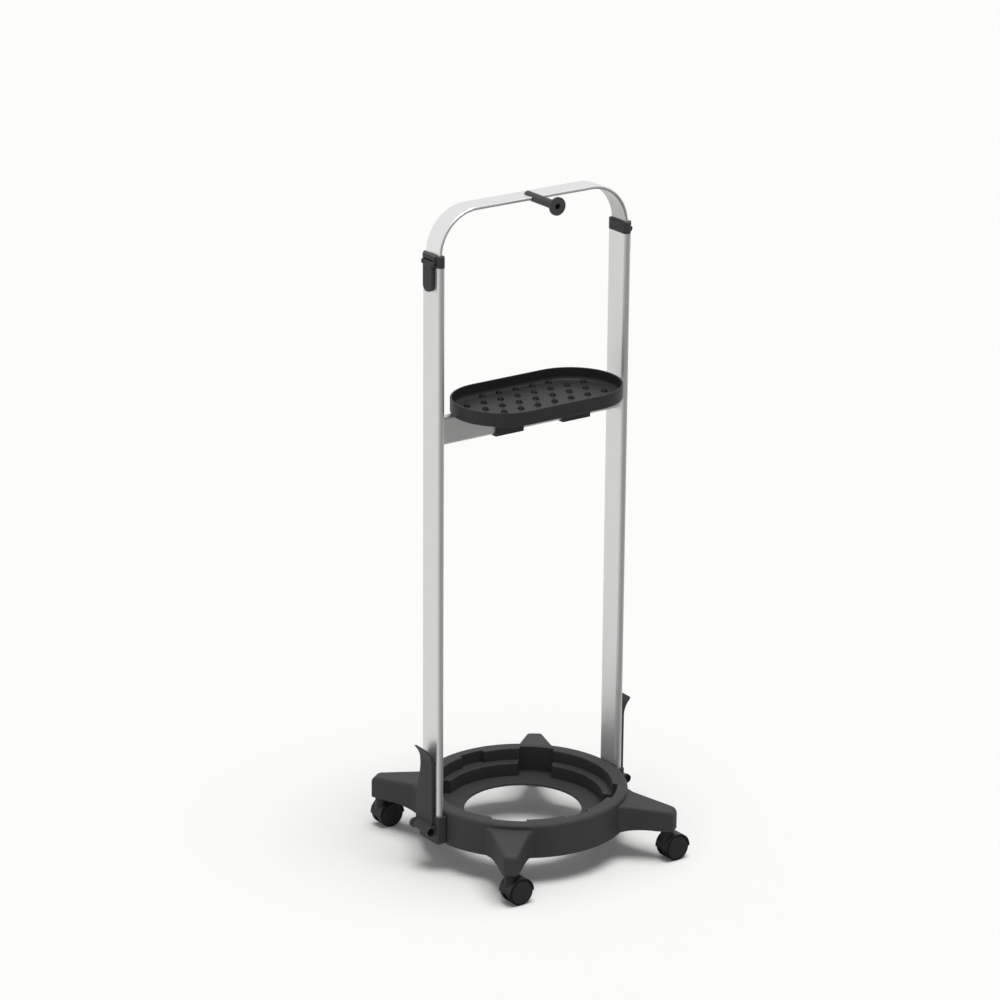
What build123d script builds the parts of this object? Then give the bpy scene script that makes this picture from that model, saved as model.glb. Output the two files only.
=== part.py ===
"""Wheeled stand of a garment steamer: a moulded ring base on four casters, two flat-oval posts with a
crossbar and a studded tray between them, and a bow handle that slides in the posts and carries a peg.

Millimetres. The origin is on the floor under the ring's centre. +X points to the right post, +Y to the
back and +Z up.
"""

import os
from math import cos, radians, sin, sqrt, tan

from build123d import *

os.makedirs("parts", exist_ok=True)

# Posts and crossbar: one flat-oval aluminium tube
post_outset = 6.0
tube_width = 44.0
tube_thickness = 11.5
tube_wall = 1.4
post_bottom = 50.0
post_top = 921.0
crossbar_height = 675.0

# Bow handle: flat bar with round edges
bow_width = 36.0
bow_thickness = 5.0
bow_top = 1000.0
bow_bend_radius = 62.5
bow_leg_bottom = 600.0
shoe_height = 28.0
shoe_floor = 6.0
shoe_clearance = 0.3

# Hose peg on the bow
peg_diameter = 13.0
peg_flange_diameter = 26.5
peg_flange_thickness = 3.0
peg_reach = 71.0
peg_tail = 3.0
peg_bore = 9.0
peg_web = 8.0
peg_screw_diameter = 3.0
peg_screw_head = 5.6
peg_screw_head_height = 2.4
peg_screw_grip = 10.0

# Collars at the posts' tops, with a cam lever each
collar_height = 16.5
collar_proud = 0.4
collar_skirt = 38.0
collar_round = 1.0
slide_clearance = 0.3
clamp_pin_diameter = 2.5
clamp_pin_offset = 7.2
clamp_pin_height = 4.8
clamp_ear_radius = 4.8
clamp_ear_width = 3.5
clamp_lever_width = 21.5
clamp_lever_drop = 41.3
clamp_lever_corner = 9.0
clamp_side_gap = 0.3
clamp_cam_radius = 4.4
clamp_cam_relief = 0.7
clamp_blade_thickness = 4.7
clamp_lip_reach = 9.5
clamp_lip_gap = 1.1

# Ring base
ring_radius = 155.5
ring_top = 95.5
ring_bottom = 43.5
ring_wall = 3.0
rim_round = 5.0
rim_width = 23.0
rim_inner_round = 1.6
ledge_height = 77.5
ledge_round = 1.6
ledge_width = 14.0
floor_height = 57.0
floor_width = 31.0
pocket_angle = 46.0
pocket_width = 52.0
pocket_depth = 7.5
pocket_groove_width = 11.5
pocket_groove_inset = 2.0
pocket_groove_depth = 1.2
notch_depth = 6.0
notch_width = 40.0

# Legs
leg_angle = 50.2
leg_splay = 5.1
stem_outset = 64.6
leg_root_width = 61.0
leg_root_top = 88.0
leg_root_bottom = 45.0
leg_flare_length = 10.0
leg_flare_angle = 32.0
leg_flare_round = 15.0
leg_tip_width = 21.0
leg_tip_reach = 12.5
leg_tip_top = 81.5
leg_tip_bottom = 49.5
leg_nose_round = 10.0
leg_arch_rise = 2.6
leg_round = 5.0
stem_boss_radius = 10.6

# Foot sockets and release levers
socket_wall = 2.5
socket_bottom = 46.5
socket_top = 88.0
socket_corner = 3.5
fit_clearance = 0.1
socket_gap = 0.4
lever_pin_diameter = 4.0
lever_pin_head = 8.4
lever_pin_head_height = 2.1
lever_pin_offset = 16.5
lever_pin_height = 67.0
lever_ear_radius = 7.0
lever_ear_width = 5.5
hinge_near = 20.0
hinge_far = 27.0
hinge_recess_diameter = 12.0
hinge_recess_depth = 2.5
lever_near = 15.0
lever_far = 15.0
lever_foot_far = 27.0
lever_tip_width = 27.0
lever_gap = 0.5
lever_thickness = 3.6
lever_waist = 124.0
lever_waist_far = 23.5
lever_flare_start = 168.0
lever_tip_height = 197.0
lever_flare_reach = 14.25
lever_flare_angle = 43.0
lever_edge_round = 0.8
lever_tip_corner = 4.0
lever_side_gap = 0.3
lever_barrel_radius = 5.6
lever_web_overlap = 1.0
lever_tip_thickness = 2.4
lever_bottom_gap = 0.5
lock_height = 112.0
lock_peg_diameter = 5.0
lock_peg_reach = 5.7
lock_slot_play = 1.5
socket_screw_diameter = 4.0
socket_screw_head = 7.5
socket_screw_head_height = 2.6
socket_screw_spread = 32.0
socket_screw_height = 80.0

# Tray and its clips
tray_x = -4.0
tray_y = -31.0
tray_end_gap = 20.25
tray_depth = 148.6
tray_height = 21.0
tray_wall = 2.7
tray_floor = 2.5
tray_bottom_round = 2.0
tray_rim_round = 1.0
stud_pitch = 29.3
stud_row_pitch = 25.35
stud_rows = 6
stud_base = 8.5
stud_height = 4.0
stud_taper = 34.0
stud_margin = 8.0
clip_wall = 2.5
clip_length = 48.0
clip_flange = 12.0
clip_flange_thickness = 3.0
clip_round = 2.0
left_clip_inset = 105.0
right_clip_inset = 48.0
tray_screw_diameter = 3.5
tray_screw_head = 6.5
tray_screw_head_height = 2.2
tray_screw_bite = 2.0

# Casters
wheel_radius = 20.0
wheel_width = 8.5
wheel_edge = 1.5
wheel_face_dish = 0.8
wheel_cup_inner = 7.0
wheel_cup_outer = 16.5
wheel_cup_depth = 4.2
wheel_bore_depth = 6.4
wheel_side_gap = 0.3
wheel_rim_gap = 0.5
hood_wall = 1.0
hood_drop = 1.0
hood_web = 9.4
hood_web_radius = 18.0
hood_neck_radius = 9.0
caster_trail = 11.0
axle_diameter = 5.0
axle_length = 21.6
stem_diameter = 8.0
stem_top = 74.0
stem_bottom = 27.0
bush_diameter = 12.0
bush_flange_diameter = 17.0
bush_flange_thickness = 1.0
bush_top = 76.0
bush_bore_top = 74.5
running_clearance = 0.06
press_clearance = 0.02
swivel_gap = 0.3

SIDES = (("left", -1), ("right", 1))
CORNERS = (
    ("front_left", -1, -1),
    ("front_right", 1, -1),
    ("back_right", 1, 1),
    ("back_left", -1, 1),
)
leg_angles = (leg_angle, 180 - leg_angle, 180 + leg_angle, -leg_angle)
pocket_angles = (pocket_angle, 180 - pocket_angle, 180 + pocket_angle, -pocket_angle)

rim_inner_radius = ring_radius - rim_width
well_radius = rim_inner_radius - ledge_width
hole_radius = well_radius - floor_width
pocket_radius = rim_inner_radius + pocket_depth
pocket_groove_end = pocket_radius - pocket_groove_inset
notch_radius = rim_inner_radius + notch_depth
stem_circle_radius = ring_radius + stem_outset
post_spacing = 2 * (ring_radius + post_outset)
post_half = tube_thickness / 2
bow_axis_height = bow_top - bow_thickness / 2
socket_seat = post_spacing / 2 - post_half - fit_clearance - socket_wall
socket_outer = post_spacing / 2 + post_half + fit_clearance + socket_wall
socket_width = tube_width + 2 * (fit_clearance + socket_wall)
lever_pin_x = post_spacing / 2 + lever_pin_offset
lever_inner = socket_outer + lever_gap
clamp_pin_x = post_spacing / 2 + clamp_pin_offset
clamp_pin_z = post_top + clamp_pin_height
crossbar_bottom = crossbar_height - tube_width / 2
crossbar_top = crossbar_height + tube_width / 2
tray_bottom = crossbar_top + fit_clearance
tray_length = post_spacing - tube_thickness - 2 * tray_end_gap
left_clip_x = tray_x - tray_length / 2 + left_clip_inset
right_clip_x = tray_x + tray_length / 2 - right_clip_inset


def write(piece, name):
    """Label a finished piece and write it as a STEP file of its own."""
    piece.part.label = name
    export_step(piece.part, f"parts/{name}.step")


def corner_of(sketch, x, y):
    """The sketch's vertex nearest to a point of its plane."""
    return sketch.vertices().sort_by_distance((x, y, 0))[0]


def radial_plane(angle, height):
    """A level plane whose x axis points outwards from the ring's centre at an angle."""
    outwards = (cos(radians(angle)), sin(radians(angle)), 0)
    return Plane(origin=(0, 0, height), x_dir=outwards, z_dir=(0, 0, 1))


# One leg at the back right, mirrored to the other corners. Its axis passes through the caster's stem and
# is splayed from the radius there, so it lies beside the ring's centre.
leg_axis_angle = leg_angle + leg_splay
leg_axis = Vector(cos(radians(leg_axis_angle)), sin(radians(leg_axis_angle)), 0)
stem_point = Vector(cos(radians(leg_angle)), sin(radians(leg_angle)), 0) * stem_circle_radius
stem_along = stem_circle_radius * cos(radians(leg_splay))
stem_across = -stem_circle_radius * sin(radians(leg_splay))
leg_side_plane = Plane(origin=stem_point, x_dir=leg_axis, z_dir=leg_axis.cross(Vector(0, 0, 1)))


def leg_plane(height):
    """A level plane with its origin over the stem and its x axis along the leg."""
    return Plane(origin=stem_point + Vector(0, 0, height), x_dir=leg_axis, z_dir=(0, 0, 1))


def wall_at(across):
    """Place along the leg, from the stem, of the ring's outer wall at a distance from the leg's axis."""
    return sqrt(ring_radius**2 - (stem_across + across) ** 2) - stem_along


leg_root = wall_at(0)
leg_slope = (leg_tip_top - leg_root_top) / (leg_tip_reach - leg_root)
leg_taper = (leg_tip_width - leg_root_width) / 2 / (leg_tip_reach - leg_root)
leg_start = leg_root - 3 * leg_flare_length


def leg_top_at(place):
    """Height of the leg's sloping top at a place along the leg."""
    return leg_root_top + leg_slope * (place - leg_root)


def leg_half_width_at(place):
    """Half the leg's width, without its flare, at a place along the leg."""
    return leg_root_width / 2 + leg_taper * (place - leg_root)


def flank(hand):
    """Points of one flank: the blank's inner end, the start of the flare and the tip."""
    flare_start = wall_at(hand * leg_root_width / 2) + leg_flare_length
    flare_half = leg_half_width_at(flare_start)
    flare_width = (flare_start - leg_start) * tan(radians(leg_flare_angle))
    return (
        (leg_start, hand * (flare_half + flare_width)),
        (flare_start, hand * flare_half),
        (leg_tip_reach, hand * leg_tip_width / 2),
    )


near_flank, far_flank = flank(-1), flank(1)

with BuildPart() as leg_core:
    core_end = -stem_boss_radius
    start_half = leg_half_width_at(leg_start) - ring_wall
    end_half = leg_half_width_at(core_end) - ring_wall
    with BuildSketch(leg_plane(0)):
        with BuildLine():
            Polyline(
                (leg_start, -start_half),
                (core_end, -end_half),
                (core_end, end_half),
                (leg_start, start_half),
                close=True,
            )
        make_face()
    extrude(amount=ring_top)
    with BuildSketch(leg_side_plane):
        with BuildLine():
            Polyline(
                (leg_start, 0),
                (leg_start, leg_top_at(leg_start) - ring_wall),
                (core_end, leg_top_at(core_end) - ring_wall),
                (core_end, 0),
                close=True,
            )
        make_face()
    extrude(amount=leg_root_width, both=True, mode=Mode.INTERSECT)

with BuildPart() as leg:
    with BuildSketch(leg_plane(leg_root_bottom)) as leg_plan:
        with BuildLine():
            Polyline(*near_flank, *reversed(far_flank), close=True)
        make_face()
        fillet([corner_of(leg_plan, *points[1]) for points in (near_flank, far_flank)], leg_flare_round)
    extrude(amount=ring_top - leg_root_bottom)
    with BuildSketch(leg_side_plane) as leg_profile:
        with BuildLine():
            Polyline(
                (leg_root, leg_root_bottom),
                (leg_start, leg_root_bottom),
                (leg_start, leg_top_at(leg_start)),
                (leg_tip_reach, leg_tip_top),
                (leg_tip_reach, leg_tip_bottom),
                (core_end, leg_tip_bottom),
            )
            arch_middle = (leg_root + core_end) / 2
            arch_height = (leg_root_bottom + leg_tip_bottom) / 2 + leg_arch_rise
            ThreePointArc(
                (core_end, leg_tip_bottom), (arch_middle, arch_height), (leg_root, leg_root_bottom)
            )
        make_face()
        fillet(corner_of(leg_profile, leg_tip_reach, leg_tip_top), leg_nose_round)
    extrude(amount=leg_root_width, both=True, mode=Mode.INTERSECT)
    top_edges = leg.faces().sort_by(Axis.Z)[-1].edges()
    fillet([edge for edge in top_edges if abs(edge.tangent_at(0.5).dot(leg_axis)) > 0.5], leg_round)
    with BuildSketch(Plane.XY.offset(leg_root_bottom)):
        Circle(ring_radius - ring_wall / 2)
    extrude(amount=ring_top, mode=Mode.SUBTRACT)
    add(leg_core.part, mode=Mode.SUBTRACT)

# Ring with legs: an open-bottomed moulding of even wall
with BuildPart() as base_ring:
    add(leg.part)
    mirror(about=Plane.XZ)
    mirror(about=Plane.YZ)
    with BuildSketch(Plane.XZ) as ring_section:
        with BuildLine():
            Polyline(
                (ring_radius, ring_bottom),
                (ring_radius, ring_top),
                (rim_inner_radius, ring_top),
                (rim_inner_radius, ledge_height),
                (well_radius, ledge_height),
                (well_radius, floor_height),
                (hole_radius, floor_height),
                (hole_radius, floor_height - ring_wall),
                (well_radius + ring_wall, floor_height - ring_wall),
                (well_radius + ring_wall, ledge_height - ring_wall),
                (rim_inner_radius + ring_wall, ledge_height - ring_wall),
                (rim_inner_radius + ring_wall, ring_top - ring_wall),
                (ring_radius - ring_wall, ring_top - ring_wall),
                (ring_radius - ring_wall, ring_bottom),
                close=True,
            )
        make_face()
        fillet(corner_of(ring_section, ring_radius, ring_top), rim_round)
        fillet(corner_of(ring_section, rim_inner_radius, ring_top), rim_inner_round)
        fillet(corner_of(ring_section, well_radius, ledge_height), ledge_round)
    revolve(axis=Axis.Z)
    # Bosses for the caster bushes
    for angle in leg_angles:
        with BuildSketch(radial_plane(angle, leg_tip_bottom)):
            with Locations((stem_circle_radius, 0)):
                Circle(bush_diameter / 2 + press_clearance)
        extrude(amount=bush_top - leg_tip_bottom, mode=Mode.SUBTRACT)
    # Pockets in the well's wall, one at each leg, with a shallow groove along their foot
    pocket_back = pocket_radius + ring_wall
    outer_width = pocket_width + 2 * ring_wall
    lower_start = sqrt(well_radius**2 - (pocket_width / 2) ** 2) + ring_wall / 2
    upper_start = sqrt(rim_inner_radius**2 - (pocket_width / 2) ** 2) + ring_wall / 2
    for angle in pocket_angles:
        for bottom, top, start in (
            (floor_height - ring_wall, ledge_height - ring_wall / 2, lower_start),
            (ledge_height - ring_wall, ring_top - ring_wall / 2, upper_start),
        ):
            with BuildSketch(radial_plane(angle, bottom)):
                with Locations(((start + pocket_back) / 2, 0)):
                    Rectangle(pocket_back - start, outer_width)
                Circle(pocket_back, mode=Mode.INTERSECT)
            extrude(amount=top - bottom)
        with BuildSketch(radial_plane(angle, floor_height)):
            with Locations(((hole_radius + pocket_back) / 2, 0)):
                Rectangle(pocket_back - hole_radius, pocket_width)
            Circle(pocket_radius, mode=Mode.INTERSECT)
        extrude(amount=ring_top - floor_height, mode=Mode.SUBTRACT)
        with BuildSketch(radial_plane(angle, floor_height)):
            with Locations(((hole_radius + pocket_back) / 2, 0)):
                Rectangle(pocket_back - hole_radius, pocket_width)
            Circle(pocket_groove_end, mode=Mode.INTERSECT)
            Circle(pocket_groove_end - pocket_groove_width, mode=Mode.SUBTRACT)
        extrude(amount=-pocket_groove_depth, mode=Mode.SUBTRACT)
    # Notches in the rim at the front and back
    with BuildSketch(Plane.XY.offset(ledge_height - ring_wall)):
        Circle(notch_radius + ring_wall)
        Circle(rim_inner_radius + ring_wall / 2, mode=Mode.SUBTRACT)
        Rectangle(notch_width + 2 * ring_wall, 2 * ring_radius, mode=Mode.INTERSECT)
    extrude(amount=ring_top - ring_wall / 2 - ledge_height + ring_wall)
    with BuildSketch(Plane.XY.offset(ledge_height)):
        Circle(notch_radius)
        Circle(well_radius, mode=Mode.SUBTRACT)
        Rectangle(notch_width, 2 * ring_radius, mode=Mode.INTERSECT)
    extrude(amount=ring_top - ledge_height, mode=Mode.SUBTRACT)
    # Recesses on the outside, backed by thick pads, where the foot sockets are screwed on
    pad_start = socket_seat - ring_wall
    with BuildSketch(Plane.XY.offset(ring_bottom)):
        Circle(ring_radius - ring_wall / 2)
        Rectangle(2 * pad_start, 2 * ring_radius, mode=Mode.SUBTRACT)
        Rectangle(2 * ring_radius, socket_width + 2 * ring_wall, mode=Mode.INTERSECT)
    extrude(amount=ring_top - ring_wall / 2 - ring_bottom)
    with BuildSketch(Plane.XY.offset(ring_bottom)):
        with Locations((socket_seat + ring_wall, 0), (-socket_seat - ring_wall, 0)):
            Rectangle(2 * ring_wall, socket_width + 2 * socket_gap)
    extrude(amount=socket_top + socket_gap - ring_bottom, mode=Mode.SUBTRACT)
    for side_name, side in SIDES:
        with BuildSketch(Plane.YZ.offset(side * pad_start)):
            with Locations((0, socket_screw_height)):
                with GridLocations(socket_screw_spread, 1, 2, 1):
                    Circle(socket_screw_diameter / 2 + press_clearance)
        extrude(amount=side * 2 * ring_wall, mode=Mode.SUBTRACT)
write(base_ring, "base_ring")

for side_name, side in SIDES:
    post_x = side * post_spacing / 2

    with BuildPart() as post:
        with BuildSketch(Plane.XY.offset(post_bottom)):
            with Locations((post_x, 0)):
                SlotOverall(tube_width, tube_thickness, rotation=90)
                SlotOverall(
                    tube_width - 2 * tube_wall,
                    tube_thickness - 2 * tube_wall,
                    rotation=90,
                    mode=Mode.SUBTRACT,
                )
        extrude(amount=post_top - post_bottom)
        # Slot in the outer wall for the release lever's peg
        with BuildSketch(Plane.YZ.offset(post_x)):
            with Locations((0, lock_height)):
                slot_height = lock_peg_diameter + 2 * lock_slot_play
                SlotOverall(slot_height, lock_peg_diameter + 2 * fit_clearance, rotation=90)
        extrude(amount=side * tube_thickness, mode=Mode.SUBTRACT)
    write(post, f"{side_name}_post")

    with BuildPart() as socket:
        with BuildSketch(Plane.XY.offset(socket_bottom)):
            with Locations((side * (socket_seat + socket_outer) / 2, 0)):
                RectangleRounded(socket_outer - socket_seat, socket_width, socket_corner)
        extrude(amount=socket_top - socket_bottom)
        with BuildSketch(Plane.XY.offset(post_bottom)):
            with Locations((post_x, 0)):
                SlotOverall(
                    tube_width + 2 * fit_clearance, tube_thickness + 2 * fit_clearance, rotation=90
                )
        extrude(amount=socket_top - post_bottom, mode=Mode.SUBTRACT)
        # Ears for the release lever, the near one recessed for the pin's head
        for ear_front in (hinge_near, lever_ear_width - hinge_far):
            with BuildSketch(Plane.XZ.offset(ear_front)):
                with Locations((side * lever_pin_x, lever_pin_height)):
                    Circle(lever_ear_radius)
                with Locations((side * (lever_pin_x + socket_outer - socket_wall) / 2, lever_pin_height)):
                    Rectangle(lever_pin_x - socket_outer + socket_wall, 2 * lever_ear_radius)
                with Locations((side * lever_pin_x, lever_pin_height)):
                    Circle(lever_pin_diameter / 2 + press_clearance, mode=Mode.SUBTRACT)
            extrude(amount=-lever_ear_width)
        with BuildSketch(Plane.XZ.offset(hinge_near)):
            with Locations((side * lever_pin_x, lever_pin_height)):
                Circle(hinge_recess_diameter / 2)
        extrude(amount=-hinge_recess_depth, mode=Mode.SUBTRACT)
        # Screw holes in the inner wall
        with BuildSketch(Plane.YZ.offset(side * socket_seat)):
            with Locations((0, socket_screw_height)):
                with GridLocations(socket_screw_spread, 1, 2, 1):
                    Circle(socket_screw_diameter / 2 + press_clearance)
        extrude(amount=side * socket_wall, mode=Mode.SUBTRACT)
    write(socket, f"{side_name}_foot_socket")

    with BuildPart() as release_lever:
        lever_outer = lever_inner + lever_thickness
        lever_bottom = lever_pin_height + lever_ear_radius + lever_bottom_gap
        tip_x = lever_inner + lever_flare_reach
        flare_sin, flare_cos = sin(radians(lever_flare_angle)), cos(radians(lever_flare_angle))
        under_tip = (
            side * (tip_x + lever_tip_thickness * flare_cos),
            lever_tip_height - lever_tip_thickness * flare_sin,
        )
        with BuildSketch(Plane.XZ):
            with BuildLine():
                Polyline(
                    (side * lever_outer, lever_flare_start),
                    (side * lever_outer, lever_bottom),
                    (side * lever_inner, lever_bottom),
                    (side * lever_inner, lever_flare_start),
                )
                Spline(
                    (side * lever_inner, lever_flare_start),
                    (side * tip_x, lever_tip_height),
                    tangents=((0, 1), (side * flare_sin, flare_cos)),
                )
                Line((side * tip_x, lever_tip_height), under_tip)
                Spline(
                    under_tip,
                    (side * lever_outer, lever_flare_start),
                    tangents=((-side * flare_sin, -flare_cos), (0, -1)),
                )
            make_face()
        extrude(amount=lever_near + lever_foot_far, both=True)
        # Outline from the side: a straight near edge, and a far edge that spreads towards the foot
        with BuildSketch(Plane.YZ) as lever_outline:
            tip_far = lever_tip_width - lever_near
            with BuildLine():
                Polyline(
                    (tip_far, lever_tip_height),
                    (-lever_near, lever_tip_height),
                    (-lever_near, lever_bottom),
                    (lever_foot_far, lever_bottom),
                )
                Spline(
                    (lever_foot_far, lever_bottom),
                    (lever_waist_far, lever_waist),
                    (lever_far, lever_flare_start),
                    tangents=((0, 1), (0, 1)),
                )
                Line((lever_far, lever_flare_start), (tip_far, lever_tip_height))
            make_face()
            fillet(lever_outline.vertices().group_by(Axis.Y)[-1], lever_tip_corner)
        extrude(amount=side * (tip_x + lever_near), mode=Mode.INTERSECT)
        rim = release_lever.faces().filter_by(Plane.YZ).sort_by(Axis.X)[-1 if side > 0 else 0].edges()
        fillet([edge for edge in rim if abs(edge.tangent_at(0.5).Z) > 0.5], lever_edge_round)
        # Barrel between the socket's ears, with a web up to the blade
        barrel_front = hinge_near - lever_ear_width - lever_side_gap
        barrel_back = hinge_far - lever_ear_width - lever_side_gap
        with BuildSketch(Plane.XZ.offset(barrel_front)):
            with BuildLine():
                Polyline(
                    (side * lever_inner, lever_pin_height),
                    (side * lever_inner, lever_bottom + lever_web_overlap),
                    (side * (lever_outer - lever_edge_round), lever_bottom + lever_web_overlap),
                    (side * lever_pin_x, lever_pin_height + lever_barrel_radius),
                    (side * lever_pin_x, lever_pin_height),
                    close=True,
                )
            make_face()
            with Locations((side * lever_pin_x, lever_pin_height)):
                Circle(lever_barrel_radius)
        extrude(amount=-barrel_front - barrel_back)
        with BuildSketch(Plane.XZ.offset(barrel_front)):
            with Locations((side * lever_pin_x, lever_pin_height)):
                Circle(lever_pin_diameter / 2 + running_clearance)
        extrude(amount=-barrel_front - barrel_back, mode=Mode.SUBTRACT)
        # Peg that locks in the post's slot
        with BuildSketch(Plane.YZ.offset(side * lever_inner)):
            with Locations((0, lock_height)):
                Circle(lock_peg_diameter / 2)
        extrude(amount=-side * lock_peg_reach)
    write(release_lever, f"{side_name}_release_lever")

    with BuildPart() as lever_pin:
        head_seat = hinge_near - hinge_recess_depth
        with BuildSketch(Plane.XZ.offset(head_seat)):
            with Locations((side * lever_pin_x, lever_pin_height)):
                Circle(lever_pin_diameter / 2)
        extrude(amount=-head_seat - hinge_far)
        with BuildSketch(Plane.XZ.offset(head_seat)):
            with Locations((side * lever_pin_x, lever_pin_height)):
                Circle(lever_pin_head / 2)
        extrude(amount=lever_pin_head_height)
    write(lever_pin, f"{side_name}_lever_pin")

    with BuildPart() as collar:
        with BuildSketch(Plane.XY.offset(post_top)):
            with Locations((post_x, 0)):
                SlotOverall(
                    tube_width + 2 * collar_proud, tube_thickness + 2 * collar_proud, rotation=90
                )
        extrude(amount=collar_height)
        # Hinge block with a lip over the lever's root
        block_half = clamp_lever_width / 2 + clamp_side_gap + clamp_ear_width
        lip_bottom = clamp_pin_z + clamp_cam_radius + clamp_lip_gap
        collar_top = post_top + collar_height
        lip_x = post_spacing / 2 + clamp_lip_reach
        with BuildSketch(Plane.XZ):
            with Locations((side * clamp_pin_x, clamp_pin_z)):
                Circle(clamp_ear_radius)
            with Locations((side * (post_spacing / 2 + clamp_pin_x) / 2, (post_top + lip_bottom) / 2)):
                Rectangle(clamp_pin_offset, lip_bottom - post_top)
            with Locations((side * (post_spacing / 2 + lip_x) / 2, (lip_bottom + collar_top) / 2)):
                Rectangle(clamp_lip_reach, collar_top - lip_bottom)
        extrude(amount=block_half, both=True)
        fillet(collar.faces().sort_by(Axis.Z)[-1].edges(), collar_round)
        # Skirt inside the post
        with BuildSketch(Plane.XY.offset(post_top)):
            with Locations((post_x, 0)):
                SlotOverall(
                    tube_width - 2 * (tube_wall + fit_clearance),
                    tube_thickness - 2 * (tube_wall + fit_clearance),
                    rotation=90,
                )
        extrude(amount=-collar_skirt)
        # Guide for the bow, window for the cam and bore for the pin
        with BuildSketch(Plane.XY.offset(post_top - collar_skirt)):
            with Locations((post_x, 0)):
                SlotOverall(
                    bow_width + 2 * slide_clearance, bow_thickness + 2 * slide_clearance, rotation=90
                )
        extrude(amount=collar_skirt + collar_height, mode=Mode.SUBTRACT)
        window_half = clamp_lever_width / 2 + clamp_side_gap
        with BuildSketch(Plane.XZ):
            with Locations((side * (post_spacing / 2 + clamp_lip_reach), (post_top + lip_bottom) / 2)):
                Rectangle(2 * clamp_lip_reach, lip_bottom - post_top)
        extrude(amount=window_half, both=True, mode=Mode.SUBTRACT)
        with BuildSketch(Plane.XZ):
            with Locations((side * clamp_pin_x, clamp_pin_z)):
                Circle(clamp_pin_diameter / 2 + press_clearance)
        extrude(amount=block_half, both=True, mode=Mode.SUBTRACT)
    write(collar, f"{side_name}_collar")

    with BuildPart() as clamp_lever:
        blade_outer = clamp_pin_x + clamp_cam_radius
        blade_bottom = clamp_pin_z - clamp_lever_drop
        with BuildSketch(Plane.XZ):
            with Locations((side * clamp_pin_x, clamp_pin_z)):
                Circle(clamp_cam_radius)
            with Locations(
                (side * (blade_outer - clamp_blade_thickness / 2), (clamp_pin_z + blade_bottom) / 2)
            ):
                Rectangle(clamp_blade_thickness, clamp_lever_drop)
            # Flat of the cam that frees the bow when the lever is up
            with Locations((side * clamp_pin_x, clamp_pin_z + 2 * clamp_cam_radius - clamp_cam_relief)):
                Rectangle(2 * clamp_cam_radius, 2 * clamp_cam_radius, mode=Mode.SUBTRACT)
            with Locations((side * clamp_pin_x, clamp_pin_z)):
                Circle(clamp_pin_diameter / 2 + running_clearance, mode=Mode.SUBTRACT)
        extrude(amount=clamp_lever_width / 2, both=True)
        end_edges = clamp_lever.faces().sort_by(Axis.Z)[0].edges().filter_by(Axis.X)
        fillet(end_edges, clamp_lever_corner)
    write(clamp_lever, f"{side_name}_clamp_lever")

    with BuildPart() as clamp_pin:
        with BuildSketch(Plane.XZ):
            with Locations((side * clamp_pin_x, clamp_pin_z)):
                Circle(clamp_pin_diameter / 2)
        extrude(amount=block_half, both=True)
    write(clamp_pin, f"{side_name}_clamp_pin")

    with BuildPart() as shoe:
        with BuildSketch(Plane.XY.offset(bow_leg_bottom - shoe_floor)):
            with Locations((post_x, 0)):
                SlotOverall(
                    tube_width - 2 * (tube_wall + shoe_clearance),
                    tube_thickness - 2 * (tube_wall + shoe_clearance),
                    rotation=90,
                )
        extrude(amount=shoe_height)
        with BuildSketch(Plane.XY.offset(bow_leg_bottom)):
            with Locations((post_x, 0)):
                SlotOverall(
                    bow_width + 2 * fit_clearance, bow_thickness + 2 * fit_clearance, rotation=90
                )
        extrude(amount=shoe_height, mode=Mode.SUBTRACT)
    write(shoe, f"{side_name}_bow_shoe")

with BuildPart() as socket_screws:
    for side_name, side in SIDES:
        with BuildSketch(Plane.YZ.offset(side * pad_start)):
            with Locations((0, socket_screw_height)):
                with GridLocations(socket_screw_spread, 1, 2, 1):
                    Circle(socket_screw_head / 2)
        extrude(amount=-side * socket_screw_head_height)
        with BuildSketch(Plane.YZ.offset(side * pad_start)):
            with Locations((0, socket_screw_height)):
                with GridLocations(socket_screw_spread, 1, 2, 1):
                    Circle(socket_screw_diameter / 2)
        extrude(amount=side * (ring_wall + socket_wall))
write(socket_screws, "socket_screws")

with BuildPart() as handle_bow:
    with BuildLine():
        FilletPolyline(
            (-post_spacing / 2, 0, bow_leg_bottom),
            (-post_spacing / 2, 0, bow_axis_height),
            (post_spacing / 2, 0, bow_axis_height),
            (post_spacing / 2, 0, bow_leg_bottom),
            radius=bow_bend_radius,
        )
    with BuildSketch(Plane.XY.offset(bow_leg_bottom)):
        with Locations((-post_spacing / 2, 0)):
            SlotOverall(bow_width, bow_thickness, rotation=90)
    sweep()
    with BuildSketch(Plane.XZ.offset(bow_width / 2)):
        with Locations((0, bow_axis_height)):
            Circle(peg_screw_diameter / 2 + press_clearance)
    extrude(amount=-peg_screw_grip - fit_clearance, mode=Mode.SUBTRACT)
write(handle_bow, "handle_bow")

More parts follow.
